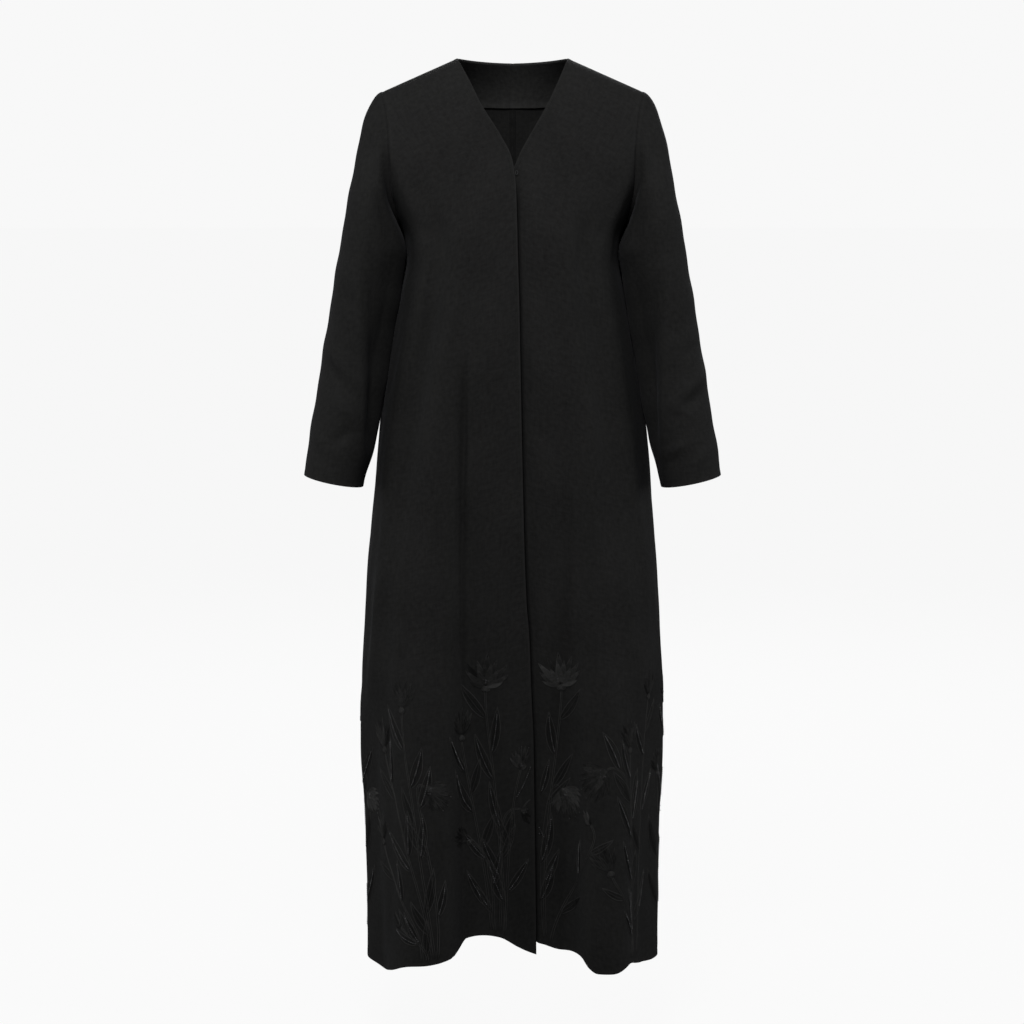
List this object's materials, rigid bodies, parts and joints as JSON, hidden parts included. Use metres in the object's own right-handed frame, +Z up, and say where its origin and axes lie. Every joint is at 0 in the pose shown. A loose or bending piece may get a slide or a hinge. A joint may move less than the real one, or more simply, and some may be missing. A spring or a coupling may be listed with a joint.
{
  "type": "abaya cloak",
  "caption": "Long open-front abaya cloak with a V neck, narrow lapped front, set-in long sleeves and an A-line skirt, hollow and filled out as if worn.",
  "frame": {"origin": "midway between the two high shoulder points, where the wearer's shoulders carry the cloak", "axes": "+Z up, +X to the wearer's left, the front opening faces -Y"},
  "size_m": [0.6516, 0.3518, 1.425],
  "materials": {
    "front_right": "matte black crepe",
    "front_left": "matte black crepe",
    "back_right": "matte black crepe",
    "back_left": "matte black crepe",
    "sleeve_right": "matte black crepe",
    "sleeve_left": "matte black crepe",
    "back_neck_facing": "matte black crepe",
    "neck_hook": "black enamelled wire"
  },
  "bodies": {
    "root": {"front_right": "front_right", "front_left": "front_left", "back_right": "back_right", "back_left": "back_left", "sleeve_right": "sleeve_right", "sleeve_left": "sleeve_left", "back_neck_facing": "back_neck_facing", "neck_hook": "neck_hook"}
  },
  "joints": []
}
